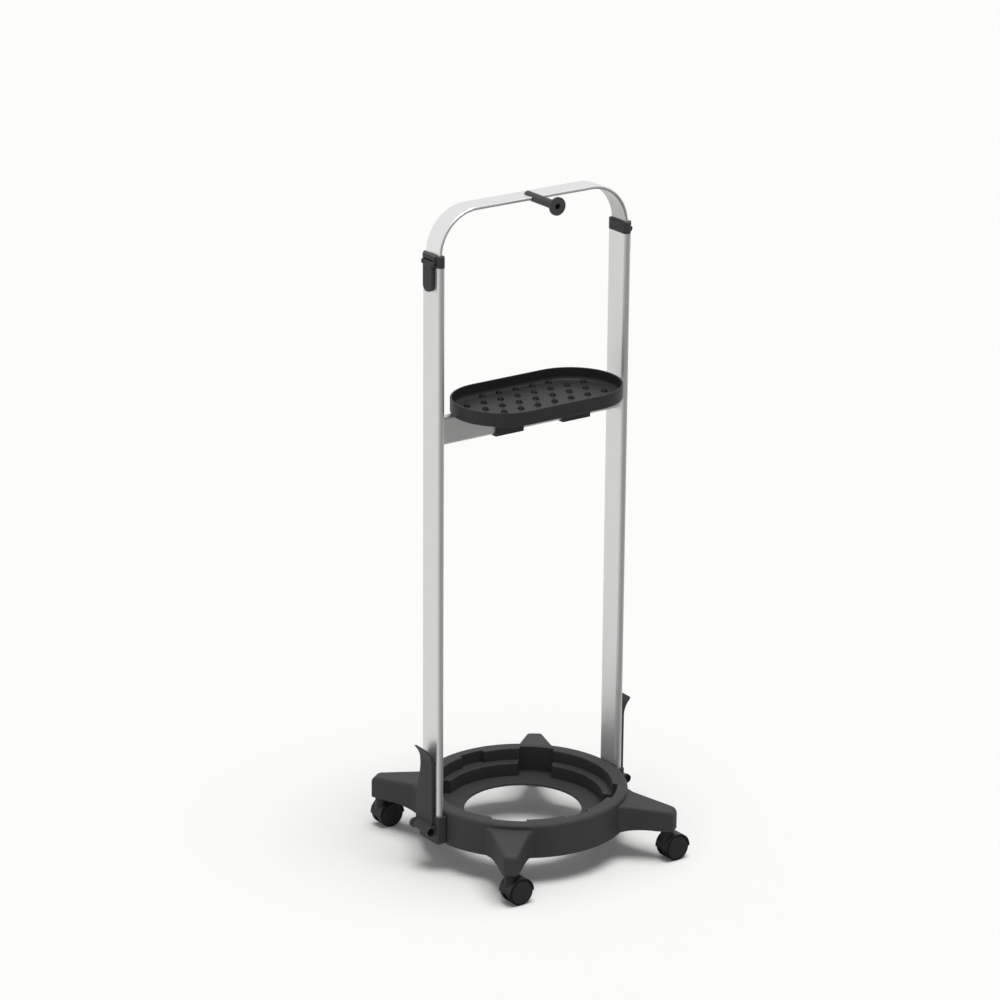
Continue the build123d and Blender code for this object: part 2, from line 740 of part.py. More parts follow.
with BuildPart() as hose_peg:
    slot_start = bow_width / 2 + fit_clearance
    web_front = slot_start + peg_web
    with BuildSketch(Plane.XZ.offset(-peg_tail)):
        with Locations((0, bow_axis_height)):
            Circle(peg_diameter / 2)
    extrude(amount=peg_tail + peg_reach)
    with BuildSketch(Plane.XZ.offset(peg_reach)):
        with Locations((0, bow_axis_height)):
            Circle(peg_flange_diameter / 2)
    extrude(amount=-peg_flange_thickness)
    with BuildSketch(Plane.XZ.offset(peg_reach)):
        with Locations((0, bow_axis_height)):
            Circle(peg_bore / 2)
    extrude(amount=web_front - peg_reach, mode=Mode.SUBTRACT)
    with BuildSketch(Plane.XZ.offset(web_front)):
        with Locations((0, bow_axis_height)):
            Circle(peg_screw_diameter / 2 + press_clearance)
    extrude(amount=-peg_web, mode=Mode.SUBTRACT)
    # Slot that takes the bow's edge
    with BuildSketch(Plane.XZ.offset(slot_start)):
        with Locations((0, bow_axis_height)):
            Rectangle(2 * peg_diameter, bow_thickness + 2 * fit_clearance)
    extrude(amount=-slot_start - 2 * peg_tail, mode=Mode.SUBTRACT)
write(hose_peg, "hose_peg")

with BuildPart() as peg_screw:
    with BuildSketch(Plane.XZ.offset(web_front)):
        with Locations((0, bow_axis_height)):
            Circle(peg_screw_head / 2)
    extrude(amount=peg_screw_head_height)
    with BuildSketch(Plane.XZ.offset(web_front)):
        with Locations((0, bow_axis_height)):
            Circle(peg_screw_diameter / 2)
    extrude(amount=-peg_web - peg_screw_grip)
write(peg_screw, "peg_screw")

# Crossbar between the posts, with the tray clipped on it
crossbar_half = post_spacing / 2 - post_half
with BuildPart() as crossbar:
    with BuildSketch(Plane.YZ.offset(-crossbar_half)):
        with Locations((0, crossbar_height)):
            SlotOverall(tube_width, tube_thickness, rotation=90)
            SlotOverall(
                tube_width - 2 * tube_wall,
                tube_thickness - 2 * tube_wall,
                rotation=90,
                mode=Mode.SUBTRACT,
            )
    extrude(amount=2 * crossbar_half)
write(crossbar, "crossbar")

flange_bottom = tray_bottom - clip_flange_thickness
clip_half = post_half + fit_clearance + clip_wall
clip_bottom = crossbar_bottom - fit_clearance - clip_wall
screw_y = clip_half + clip_flange / 2
screw_points = [(x, y) for x in (left_clip_x, right_clip_x) for y in (-screw_y, screw_y)]

with BuildPart() as tray:
    with BuildSketch(Plane.XY.offset(tray_bottom)):
        with Locations((tray_x, tray_y)):
            SlotOverall(tray_length, tray_depth)
    extrude(amount=tray_height)
    fillet(tray.faces().sort_by(Axis.Z)[0].edges(), tray_bottom_round)
    inner_length, inner_depth = tray_length - 2 * tray_wall, tray_depth - 2 * tray_wall
    with BuildSketch(Plane.XY.offset(tray_bottom + tray_floor)):
        with Locations((tray_x, tray_y)):
            SlotOverall(inner_length, inner_depth)
    extrude(amount=tray_height, mode=Mode.SUBTRACT)
    fillet(tray.faces().sort_by(Axis.Z)[-1].edges(), tray_rim_round)
    # Studs in staggered rows, as far as the rounded ends leave room
    stud_points = []
    for row in range(stud_rows):
        y = (row - (stud_rows - 1) / 2) * stud_row_pitch
        shift = stud_pitch / 4 if row % 2 else -stud_pitch / 4
        room = sqrt(max((inner_depth / 2 - stud_margin) ** 2 - y**2, 0))
        reach = (inner_length - inner_depth) / 2 + room
        columns = int(reach // stud_pitch) + 1
        for column in range(-columns, columns + 1):
            x = column * stud_pitch + shift
            if abs(x) <= reach:
                stud_points.append((tray_x + x, tray_y + y))
    with BuildSketch(Plane.XY.offset(tray_bottom + tray_floor)):
        with Locations(*stud_points):
            Rectangle(stud_base, stud_base)
    extrude(amount=stud_height, taper=stud_taper)
    with BuildSketch(Plane.XY.offset(tray_bottom)):
        with Locations(*screw_points):
            Circle(tray_screw_diameter / 2 + press_clearance)
    extrude(amount=tray_screw_bite, mode=Mode.SUBTRACT)
write(tray, "tray")

for clip_name, clip_x in (("left", left_clip_x), ("right", right_clip_x)):
    with BuildPart() as clip:
        with BuildSketch(Plane.YZ.offset(clip_x - clip_length / 2)) as clip_section:
            with Locations((0, (clip_bottom + tray_bottom) / 2)):
                Rectangle(2 * clip_half, tray_bottom - clip_bottom)
            with Locations((0, tray_bottom - clip_flange_thickness / 2)):
                Rectangle(2 * (clip_half + clip_flange), clip_flange_thickness)
            fillet(clip_section.vertices().group_by(Axis.Y)[0], clip_round)
            with Locations((0, crossbar_height)):
                SlotOverall(
                    tube_width + 2 * fit_clearance, tube_thickness + 2 * fit_clearance, rotation=90,
                    mode=Mode.SUBTRACT,
                )
            with Locations((0, (crossbar_height + tray_bottom) / 2)):
                Rectangle(
                    tube_thickness + 2 * fit_clearance, tray_bottom - crossbar_height, mode=Mode.SUBTRACT
                )
        extrude(amount=clip_length)
        with BuildSketch(Plane.XY.offset(flange_bottom)):
            with Locations((clip_x, -screw_y), (clip_x, screw_y)):
                Circle(tray_screw_diameter / 2 + press_clearance)
        extrude(amount=clip_flange_thickness, mode=Mode.SUBTRACT)
    write(clip, f"{clip_name}_tray_clip")

with BuildPart() as tray_screws:
    with BuildSketch(Plane.XY.offset(flange_bottom)):
        with Locations(*screw_points):
            Circle(tray_screw_head / 2)
    extrude(amount=-tray_screw_head_height)
    with BuildSketch(Plane.XY.offset(flange_bottom)):
        with Locations(*screw_points):
            Circle(tray_screw_diameter / 2)
    extrude(amount=clip_flange_thickness + tray_screw_bite)
write(tray_screws, "tray_screws")

# Twin-wheel casters, all trailing to the right as in the photograph
hood_top = leg_tip_bottom - bush_flange_thickness - swivel_gap
hood_radius = wheel_radius + wheel_rim_gap + hood_wall
caster_width = hood_web + 2 * (wheel_side_gap + wheel_width)
for corner_name, x_side, y_side in CORNERS:
    stem_x = x_side * stem_circle_radius * cos(radians(leg_angle))
    stem_y = y_side * stem_circle_radius * sin(radians(leg_angle))
    wheel_x = stem_x + caster_trail
    side_plane = Plane(origin=(wheel_x, stem_y, wheel_radius), x_dir=(1, 0, 0), z_dir=(0, -1, 0))

    with BuildPart() as bush:
        with BuildSketch(Plane.XY.offset(leg_tip_bottom - bush_flange_thickness)):
            with Locations((stem_x, stem_y)):
                Circle(bush_flange_diameter / 2)
        extrude(amount=bush_flange_thickness)
        with BuildSketch(Plane.XY.offset(leg_tip_bottom)):
            with Locations((stem_x, stem_y)):
                Circle(bush_diameter / 2)
        extrude(amount=bush_top - leg_tip_bottom)
        with BuildSketch(Plane.XY.offset(bush_bore_top)):
            with Locations((stem_x, stem_y)):
                Circle(stem_diameter / 2 + running_clearance)
        extrude(amount=-bush_bore_top, mode=Mode.SUBTRACT)
    write(bush, f"{corner_name}_bush")

    with BuildPart() as stem:
        with BuildSketch(Plane.XY.offset(stem_bottom)):
            with Locations((stem_x, stem_y)):
                Circle(stem_diameter / 2)
        extrude(amount=stem_top - stem_bottom)
    write(stem, f"{corner_name}_stem")

    with BuildPart() as hood:
        # Half drum over both wheels, with a neck for the stem
        with BuildSketch(side_plane):
            Circle(hood_radius)
            with Locations((0, -hood_radius - hood_drop)):
                Rectangle(2 * hood_radius, 2 * hood_radius, mode=Mode.SUBTRACT)
        extrude(amount=caster_width / 2, both=True)
        with BuildSketch(Plane.XY.offset(wheel_radius)):
            with Locations((stem_x, stem_y)):
                Circle(hood_neck_radius)
        extrude(amount=hood_top - wheel_radius)
        # Room for the wheels on both sides of the web
        for hand in (-1, 1):
            with BuildSketch(side_plane.offset(hand * hood_web / 2)):
                Circle(wheel_radius + wheel_rim_gap)
            extrude(amount=hand * caster_width / 2, mode=Mode.SUBTRACT)
        with BuildSketch(side_plane):
            Circle(hood_web_radius)
        extrude(amount=hood_web / 2, both=True)
        with BuildSketch(side_plane):
            Circle(axle_diameter / 2 + press_clearance)
        extrude(amount=hood_web / 2, both=True, mode=Mode.SUBTRACT)
        with BuildSketch(Plane.XY.offset(stem_bottom)):
            with Locations((stem_x, stem_y)):
                Circle(stem_diameter / 2 + press_clearance)
        extrude(amount=stem_top, mode=Mode.SUBTRACT)
    write(hood, f"{corner_name}_hood")

    with BuildPart() as axle:
        with BuildSketch(side_plane):
            Circle(axle_diameter / 2)
        extrude(amount=axle_length / 2, both=True)
    write(axle, f"{corner_name}_axle")

    for wheel_name, hand in (("near", -1), ("far", 1)):
        inner_face = hood_web / 2 + wheel_side_gap
        outer_face = inner_face + wheel_width
        bore_radius = axle_diameter / 2 + running_clearance
        spin_axis = Axis((wheel_x, stem_y, wheel_radius), (0, 1, 0))
        with BuildPart() as wheel:
            with BuildSketch(
                Plane(origin=(wheel_x, stem_y, wheel_radius), x_dir=(1, 0, 0), z_dir=(0, 0, 1))
            ):
                with BuildLine():
                    Polyline(
                        (0, hand * (outer_face - wheel_face_dish)),
                        (0, hand * (inner_face + wheel_bore_depth)),
                        (bore_radius, hand * (inner_face + wheel_bore_depth)),
                        (bore_radius, hand * inner_face),
                        (wheel_cup_inner, hand * inner_face),
                        (wheel_cup_inner, hand * (inner_face + wheel_cup_depth)),
                        (wheel_cup_outer, hand * (inner_face + wheel_cup_depth)),
                        (wheel_cup_outer, hand * inner_face),
                        (wheel_radius, hand * inner_face),
                        (wheel_radius, hand * (outer_face - wheel_edge)),
                        (wheel_radius - wheel_edge / 3, hand * (outer_face - wheel_edge / 3)),
                        (wheel_radius - wheel_edge, hand * outer_face),
                        close=True,
                    )
                make_face()
            revolve(axis=spin_axis)
        write(wheel, f"{corner_name}_{wheel_name}_wheel")
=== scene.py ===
"""Looks of a wheeled stand for a garment steamer, laid out as an add-on and run as a script.

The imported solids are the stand. This file gives each of them its finish, adds the small details that they
leave out, which are wheel caps, stud tips, a cove in the tray and screw faces, and sets the floor, the light
and the camera of the photograph.
"""

from math import radians

import bpy
import numpy as np
from bpy.props import FloatProperty, FloatVectorProperty, PointerProperty, StringProperty
from bpy.types import NodeSocket, Operator, Panel, PropertyGroup
from mathutils import Matrix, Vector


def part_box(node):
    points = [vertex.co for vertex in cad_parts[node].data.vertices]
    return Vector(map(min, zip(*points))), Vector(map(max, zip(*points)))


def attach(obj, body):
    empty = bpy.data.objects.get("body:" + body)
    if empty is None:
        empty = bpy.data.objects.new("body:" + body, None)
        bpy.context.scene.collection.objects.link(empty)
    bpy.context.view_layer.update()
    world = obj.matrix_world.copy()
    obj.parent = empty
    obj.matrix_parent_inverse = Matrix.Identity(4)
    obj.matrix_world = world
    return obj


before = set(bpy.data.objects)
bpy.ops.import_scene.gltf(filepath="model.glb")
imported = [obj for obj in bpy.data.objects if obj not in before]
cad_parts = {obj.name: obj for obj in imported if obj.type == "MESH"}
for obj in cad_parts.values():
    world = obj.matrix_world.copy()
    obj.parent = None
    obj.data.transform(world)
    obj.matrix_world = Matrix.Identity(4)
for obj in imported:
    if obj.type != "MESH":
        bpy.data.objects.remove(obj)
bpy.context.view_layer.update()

bl_info = {
    "name": "Steamer stand finishes",
    "version": (1, 0, 0),
    "blender": (4, 5, 0),
    "location": "3D View > Sidebar > Stand",
    "description": "Finishes, small details and a studio for a wheeled steamer stand",
    "category": "Object",
}

MM = 0.001
SIDES = ("left", "right")
CORNERS = ("front_left", "front_right", "back_right", "back_left")

# Where mirrors see the floor and the room brightest
FLOOR_BRIGHT = (-0.2, 0.98, 0)
ROOM_BRIGHT = (-0.1, 0.8, 0.6)

# New meshes show an edge where their faces meet at more than this
SHARP = radians(35)

# Most of a noise pattern's values lie between these
NOISE_LOW, NOISE_HIGH = 0.3, 0.7


def linear(colour):
    """An sRGB hex colour such as #3A3B3C as linear red, green, blue and alpha."""
    channels = np.array([int(colour[i : i + 2], 16) for i in (1, 3, 5)]) / 255
    light = np.where(channels <= 0.04045, channels / 12.92, ((channels + 0.055) / 1.055) ** 2.4)
    return (*light.tolist(), 1.0)


def dimmed(colour, share):
    """A linear colour with a share of its light, which may be over 1."""
    return (*(value * share for value in colour[:3]), 1.0)


def add_node(tree, kind, sockets=None, **settings):
    """One shader node: settings are its properties, sockets the values of its inputs or what feeds them."""
    made = tree.nodes.new(kind)
    for name, value in settings.items():
        setattr(made, name, value)
    for name, value in (sockets or {}).items():
        if isinstance(value, NodeSocket):
            tree.links.new(value, made.inputs[name])
        else:
            made.inputs[name].default_value = value
    return made


def empty_material(name):
    """A new node material with no nodes yet, and its tree."""
    material = bpy.data.materials.new(name)
    material.use_nodes = True
    material.node_tree.nodes.clear()
    return material, material.node_tree


def close_material(tree, shader):
    """Add the material's output and link the finished shader to it."""
    add_node(tree, "ShaderNodeOutputMaterial", {"Surface": shader})


class StandAluminium(PropertyGroup):
    """Satin tubes and the bow."""

    colour: StringProperty(name="Metal", description="sRGB colour of the bare metal", default="#F0F0F0")
    bow_colour: StringProperty(name="Bow", description="sRGB colour of the brighter bow", default="#FAFAFA")
    # Painted shade: the share of the bow's colour left on the inner side of its bend, which is drawn darker
    inner: FloatProperty(
        name="Inner side",
        description="Brightness left on the bow's unpolished inner side",
        default=0.56,
        min=0,
        max=1,
    )
    roughness: FloatProperty(
        name="Roughness",
        description="Spread of the posts' satin finish",
        default=0.46,
        min=0,
        max=1,
        subtype="FACTOR",
    )
    bow_roughness: FloatProperty(
        name="Bow roughness",
        description="Spread of the bow's smoother finish",
        default=0.27,
        min=0,
        max=1,
        subtype="FACTOR",
    )
    grain: FloatProperty(
        name="Grain",
        description="Width of the drawn lines, coarse enough to show",
        default=1.6 * MM,
        unit="LENGTH",
    )
    run: FloatProperty(name="Run", description="Length of the drawn lines", default=220 * MM, unit="LENGTH")
    polish: FloatProperty(
        name="Polish",
        description="Share of the drawn lines that polishing leaves on the bow",
        default=0.25,
        min=0,
        max=1,
        subtype="FACTOR",
    )


class StandPlastics(PropertyGroup):
    """Moulded parts."""

    base: StringProperty(
        name="Base", description="sRGB colour of the ring, levers and collars", default="#414142"
    )
    tray: StringProperty(name="Tray", description="sRGB colour of the tray and its clips", default="#343435")
    tips: StringProperty(name="Tips", description="sRGB colour of the studs' tips", default="#19191A")
    peg: StringProperty(name="Peg", description="sRGB colour of the hose peg", default="#4A4A4B")
    caster: StringProperty(
        name="Casters", description="sRGB colour of the hoods and the wheels' caps", default="#2C2C2E"
    )
    tread: StringProperty(name="Treads", description="sRGB colour of the wheels' treads", default="#121213")
    nylon: StringProperty(name="Nylon", description="sRGB colour of bushes and shoes", default="#3B3B3A")
    grit: FloatProperty(
        name="Grit",
        description="Size of the spark-eroded grain, coarse enough to show",
        default=1.3 * MM,
        unit="LENGTH",
    )
    shine: FloatProperty(
        name="Shine",
        description="Share of the shine that the grit leaves, 0.5 being all",
        default=0.26,
        min=0,
        max=1,
    )
    edge: FloatProperty(
        name="Edge",
        description="Radius that softens the light on moulded edges",
        default=0.7 * MM,
        unit="LENGTH",
    )


class StandSteel(PropertyGroup):
    """Screws, pins, stems and axles."""

    zinc: StringProperty(name="Zinc", description="sRGB colour of plated screws and axles", default="#B9BCC0")
    black: StringProperty(name="Black", description="sRGB colour of blackened hinge pins", default="#2B2B2C")


class StandDetails(PropertyGroup):
    """Wheel caps, the tray's stud tips and cove, and screw faces."""

    cap_radius: FloatProperty(
        name="Cap", description="Radius of the caps on the wheels", default=17.0 * MM, unit="LENGTH"
    )
    cap_step: FloatProperty(
        name="Cap step",
        description="How far a cap's edge stands off its wheel",
        default=0.5 * MM,
        unit="LENGTH",
    )
    cap_dome: FloatProperty(
        name="Cap dome", description="How far a cap swells in its middle", default=0.5 * MM, unit="LENGTH"
    )
    cap_edge: FloatProperty(
        name="Cap edge", description="Radius of a cap's rounded edge", default=0.9 * MM, unit="LENGTH"
    )
    cap_root: FloatProperty(
        name="Cap root", description="How deep a cap is let into its wheel", default=1.2 * MM, unit="LENGTH"
    )
    tray_wall: FloatProperty(
        name="Tray wall", description="Thickness of the tray's wall", default=2.7 * MM, unit="LENGTH"
    )
    tray_floor: FloatProperty(
        name="Tray floor", description="Thickness of the tray's floor", default=2.5 * MM, unit="LENGTH"
    )
    cove: FloatProperty(
        name="Cove",
        description="Radius of the hollow between the tray's wall and floor",
        default=5.0 * MM,
        unit="LENGTH",
    )
    cove_root: FloatProperty(
        name="Cove root",
        description="How deep the cove reaches into wall and floor",
        default=0.2 * MM,
        unit="LENGTH",
    )
    stud_height: FloatProperty(
        name="Stud", description="Height of the studs over the tray's floor", default=4.0 * MM, unit="LENGTH"
    )
    stud_base: FloatProperty(
        name="Stud base", description="Width of a stud at the floor", default=8.5 * MM, unit="LENGTH"
    )
    stud_taper: FloatProperty(
        name="Stud taper",
        description="Slope of a stud's sides from upright",
        default=radians(34),
        subtype="ANGLE",
    )
    tip_skin: FloatProperty(
        name="Tip skin", description="Thickness of the silicone over a stud", default=0.35 * MM, unit="LENGTH"
    )
    tray_head: FloatProperty(
        name="Tray screws", description="Radius of the heads under the tray", default=3.25 * MM, unit="LENGTH"
    )
    screw_dome: FloatProperty(
        name="Screw dome", description="Height of a pan head over its rim", default=1.1 * MM, unit="LENGTH"
    )
    screw_rim: FloatProperty(
        name="Screw rim",
        description="How deep a pan head is let into the solid",
        default=0.2 * MM,
        unit="LENGTH",
    )
    recess_depth: FloatProperty(
        name="Recess", description="Depth of the cross recess", default=0.95 * MM, unit="LENGTH"
    )
    recess_width: FloatProperty(
        name="Recess width", description="Width of an arm of the cross", default=0.9 * MM, unit="LENGTH"
    )
    recess_reach: FloatProperty(
        name="Recess reach",
        description="Length of the cross as a share of the head",
        default=0.62,
        min=0,
        max=1,
        subtype="FACTOR",
    )


class StandStage(PropertyGroup):
    """Floor, light and camera."""

    floor: StringProperty(name="Floor", description="sRGB colour of the floor", default="#FFFFFD")
    bounce: StringProperty(
        name="Bounce",
        description="sRGB grey of the floor that lights the stand from below",
        default="#EEEEEE",
    )
    lift: FloatProperty(
        name="Lift", description="Light that whitens the floor for the eye alone", default=0.03, min=0, max=1
    )
    sky: FloatProperty(name="Sky", description="Strength of the soft light all round", default=0.27, min=0)
    shade: FloatProperty(
        name="Shade",
        description="Brightness that mirrors see on the camera's side of the room",
        default=0.36,
        min=0,
        max=1,
    )
    glow: FloatProperty(
        name="Glow", description="Brightness that mirrors see behind and above", default=0.8, min=0, max=1
    )
    key: FloatProperty(name="Key", description="Strength of the broad overhead lamp", default=2.15, min=0)
    spread: FloatProperty(
        name="Spread",
        description="Width of the overhead lamp in the sky",
        default=radians(38),
        subtype="ANGLE",
    )
    lean: FloatProperty(
        name="Lean",
        description="Lean of the overhead lamp towards the front",
        default=radians(8),
        subtype="ANGLE",
    )
    fade: FloatProperty(
        name="Fade",
        description="Share of the floor's white that mirrors see in front of the stand",
        default=0.3,
        min=0,
        max=1,
    )
    sheet: FloatProperty(
        name="Sheet",
        description="Share of the floor's white that mirrors see behind the stand",
        default=0.85,
        min=0,
        max=1,
    )
    reach: FloatProperty(
        name="Reach", description="From the middle of the floor to its sides", default=12.0, unit="LENGTH"
    )
    camera_place: FloatVectorProperty(
        name="Camera",
        description="Where the camera stands",
        default=(-3.3354, -4.6946, 2.5689),
        subtype="XYZ",
        unit="LENGTH",
    )
    azimuth: FloatProperty(
        name="Azimuth",
        description="Turn of the camera to the left of the front",
        default=radians(35.021),
        subtype="ANGLE",
    )
    elevation: FloatProperty(
        name="Elevation", description="Height angle of the camera", default=radians(19.402), subtype="ANGLE"
    )
    roll: FloatProperty(
        name="Roll", description="Tilt of the picture", default=radians(0.426), subtype="ANGLE"
    )
    lens: FloatProperty(
        name="Lens", description="Focal length on a 36 mm sensor", default=151.63, unit="CAMERA"
    )


class StandSettings(PropertyGroup):
    """Everything a user would change."""

    aluminium: PointerProperty(type=StandAluminium)
    plastics: PointerProperty(type=StandPlastics)
    steel: PointerProperty(type=StandSteel)
    details: PointerProperty(type=StandDetails)
    stage: PointerProperty(type=StandStage)


def satin_aluminium(name, shade, roughness, along, streak=1.0, middle=None):
    """Extruded and clear-anodised aluminium: a grey metal with a soft, streaked shine along the draw.

    along holds the axes that the drawn lines follow, 0, 1 or 2, and streak is the share of them that
    polishing leaves. They are too fine to show, so they are drawn coarser: darker and lighter lines, which
    also vary the roughness and stand two hundredths of a millimetre proud. A bent bar gives the middle of
    its bend as well: the side that faces it gets a painted shade, a darker copy of the colour.
    """
    settings = bpy.context.scene.stand.aluminium
    tone_swing, rough_swing, groove_strength = 0.1 * streak, 0.05 * streak, 0.12 * streak
    groove_depth = 0.02 * MM
    material, tree = empty_material(name)
    coordinates = add_node(tree, "ShaderNodeTexCoord").outputs
    place = coordinates["Object"]
    scale = [1 / settings.run if axis in along else 1 / settings.grain for axis in range(3)]
    stretched = add_node(tree, "ShaderNodeMapping", {"Vector": place, "Scale": scale}).outputs["Vector"]
    lines = add_node(
        tree, "ShaderNodeTexNoise", {"Vector": stretched, "Scale": 1.0, "Detail": 3.0, "Roughness": 0.6}
    ).outputs["Fac"]
    bright = linear(shade)
    dull = dimmed(bright, 1 - tone_swing)
    colour = add_node(tree, "ShaderNodeMix", {0: lines, 6: dull, 7: bright}, data_type="RGBA").outputs[2]
    if middle is not None:
        # The normal along the arm from the middle to the surface is negative on the inner side
        inner_below, outer_above = -40 * MM, -20 * MM
        arm = add_node(
            tree, "ShaderNodeVectorMath", {0: place, 1: middle}, operation="SUBTRACT"
        ).outputs["Vector"]
        facing = add_node(
            tree, "ShaderNodeVectorMath", {0: coordinates["Normal"], 1: arm}, operation="DOT_PRODUCT"
        ).outputs["Value"]
        inner = add_node(
            tree,
            "ShaderNodeMapRange",
            {"Value": facing, "From Min": inner_below, "From Max": outer_above, "To Min": 1.0, "To Max": 0.0},
        ).outputs["Result"]
        # Painted shade: the inner side of the bend takes a darker copy of the colour
        painted_shade_colour = dimmed(bright, settings.inner)
        colour = add_node(
            tree, "ShaderNodeMix", {0: inner, 6: colour, 7: painted_shade_colour}, data_type="RGBA"
        ).outputs[2]
    rough = add_node(
        tree,
        "ShaderNodeMapRange",
        {
            "Value": lines,
            "From Min": NOISE_LOW,
            "From Max": NOISE_HIGH,
            "To Min": roughness - rough_swing,
            "To Max": roughness + rough_swing,
        },
    ).outputs["Result"]
    bump = add_node(
        tree, "ShaderNodeBump", {"Strength": groove_strength, "Distance": groove_depth, "Height": lines}
    ).outputs["Normal"]
    shader = add_node(
        tree,
        "ShaderNodeBsdfPrincipled",
        {"Base Color": colour, "Metallic": 1.0, "Roughness": rough, "Normal": bump},
    )
    close_material(tree, shader.outputs["BSDF"])
    return material


def moulded_plastic(name, colour, roughness, grit_depth):
    """Injection-moulded plastic from a spark-eroded tool: an even dark grey, dulled by a fine grit.

    The melt's flow leaves broad, faint clouds of tone. Edges get a small radius in the shading, as a moulded
    edge has, so that they catch a thin line of light.
    """
    settings = bpy.context.scene.stand.plastics
    cloud_size, cloud_swing, rough_swing, grit_strength = 60 * MM, 0.12, 0.06, 0.35
    material, tree = empty_material(name)
    place = add_node(tree, "ShaderNodeTexCoord").outputs["Object"]
    grit = add_node(
        tree,
        "ShaderNodeTexNoise",
        {"Vector": place, "Scale": 1 / settings.grit, "Detail": 2.0, "Roughness": 0.55},
    ).outputs["Fac"]
    flow = add_node(
        tree, "ShaderNodeTexNoise", {"Vector": place, "Scale": 1 / cloud_size, "Detail": 2.0}
    ).outputs["Fac"]
    low, high = (dimmed(linear(colour), share) for share in (1 - cloud_swing, 1 + cloud_swing))
    tone = add_node(tree, "ShaderNodeMix", {0: flow, 6: low, 7: high}, data_type="RGBA").outputs[2]
    rough = add_node(
        tree,
        "ShaderNodeMapRange",
        {
            "Value": grit,
            "From Min": NOISE_LOW,
            "From Max": NOISE_HIGH,
            "To Min": roughness - rough_swing,
            "To Max": roughness + rough_swing,
        },
    ).outputs["Result"]
    edge = add_node(tree, "ShaderNodeBevel", {"Radius": settings.edge}, samples=4).outputs["Normal"]
    bump = add_node(
        tree,
        "ShaderNodeBump",
        {"Strength": grit_strength, "Distance": grit_depth, "Height": grit, "Normal": edge},
    ).outputs["Normal"]
    shader = add_node(
        tree,
        "ShaderNodeBsdfPrincipled",
        {
            "Base Color": tone,
            "Roughness": rough,
            "IOR": 1.49,
            "Specular IOR Level": settings.shine,
            "Normal": bump,
        },
    )
    close_material(tree, shader.outputs["BSDF"])
    return material


def plated_steel(name, colour):
    """Plated or blackened steel: a plain metal whose shine is broken by the scuff of tumbling.

    The scuff is too fine to show, so it is drawn coarser.
    """
    scuff_size, smooth, scuffed = 0.9 * MM, 0.25, 0.45
    material, tree = empty_material(name)
    place = add_node(tree, "ShaderNodeTexCoord").outputs["Object"]
    scuff = add_node(
        tree, "ShaderNodeTexNoise", {"Vector": place, "Scale": 1 / scuff_size, "Detail": 3.0}
    ).outputs["Fac"]
    rough = add_node(
        tree, "ShaderNodeMapRange", {"Value": scuff, "To Min": smooth, "To Max": scuffed}
    ).outputs["Result"]
    shader = add_node(
        tree, "ShaderNodeBsdfPrincipled", {"Base Color": linear(colour), "Metallic": 1.0, "Roughness": rough}
    )
    close_material(tree, shader.outputs["BSDF"])
    return material


def dress(material, *nodes):
    """Give CAD nodes a finish in all their material slots."""
    for name in nodes:
        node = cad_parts[name]
        if not node.material_slots:
            node.data.materials.append(material)
        for slot in node.material_slots:
            slot.material = material


def node_box(node):
    """Lowest and highest corner of a CAD node as arrays."""
    return [np.array(corner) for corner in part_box(node)]


def node_points(node):
    """The points of a CAD node's mesh as an array."""
    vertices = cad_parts[node].data.vertices
    flat = np.empty(3 * len(vertices), dtype=np.float32)
    vertices.foreach_get("co", flat)
    return flat.reshape(-1, 3).astype(float)


def grid_faces(number):
    """Four-sided faces of a grid from the numbers of its points, rows first, facing along row x column."""
    corners = [number[:-1, :-1], number[1:, :-1], number[1:, 1:], number[:-1, 1:]]
    return np.stack(corners, axis=-1).reshape(-1, 4)


def turned_faces(rings, sides):
    """Faces of rings of points that close round and end in one point each: the grid's and the two fans'.

    The rings are numbered first, from the top down, then the top's point and the bottom's.
    """
    number = np.arange(rings * sides).reshape(rings, sides)
    number = np.concatenate([number, number[:, :1]], axis=1)
    top = np.stack([np.full(sides, rings * sides), number[0, :-1], number[0, 1:]], axis=-1)
    bottom = np.stack([np.full(sides, rings * sides + 1), number[-1, 1:], number[-1, :-1]], axis=-1)
    return grid_faces(number), np.concatenate([top, bottom])


def new_piece(name, points, faces, material, body):
    """A mesh at the origin that rides on a body and takes the given finish."""
    mesh = bpy.data.meshes.new(name)
    mesh.from_pydata(points.tolist(), [], faces)
    mesh.polygons.foreach_set("use_smooth", np.ones(len(mesh.polygons), dtype=bool))
    mesh.set_sharp_from_angle(angle=SHARP)
    mesh.materials.append(material)
    piece = bpy.data.objects.new(name, mesh)
    bpy.context.scene.collection.objects.link(piece)
    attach(piece, body)


def wheel_cap(centre, axis):
    """Points and faces of a domed cap: a profile carried once round the wheel's axis.

    Heights along the axis over the wheel's face: step + dome * (1 - (r / inner)^2) up to the inner radius,
    then a quarter round of the edge radius, then down to the root and back to the axis. Each point of the
    profile is carried to centre + height * axis + radius * (cos t * across + sin t * up).
    """
    size = bpy.context.scene.stand.details
    dome_points, edge_points, sides = 9, 7, 72
    inner = size.cap_radius - size.cap_edge
    flat = np.linspace(0, inner, dome_points)
    bend = np.linspace(0, np.pi / 2, edge_points)[1:]
    radius = np.concatenate([flat, inner + size.cap_edge * np.sin(bend), [size.cap_radius, 0]])
    height = np.concatenate(
        [
            size.cap_step + size.cap_dome * (1 - (flat / inner) ** 2),
            size.cap_step + size.cap_edge * (np.cos(bend) - 1),
            [-size.cap_root, -size.cap_root],
        ]
    )
    turn = np.linspace(0, 2 * np.pi, sides, endpoint=False)[:, None]
    across = np.roll(axis, 1)
    spoke = np.cos(turn) * across + np.sin(turn) * np.cross(axis, across)
    rings = centre + height[1:-1, None, None] * axis + radius[1:-1, None, None] * spoke
    poles = centre + height[[0, -1], None] * axis
    points = np.concatenate([rings.reshape(-1, 3), poles])
    faces, fans = turned_faces(len(rings), sides)
    return points, faces.tolist() + fans.tolist()


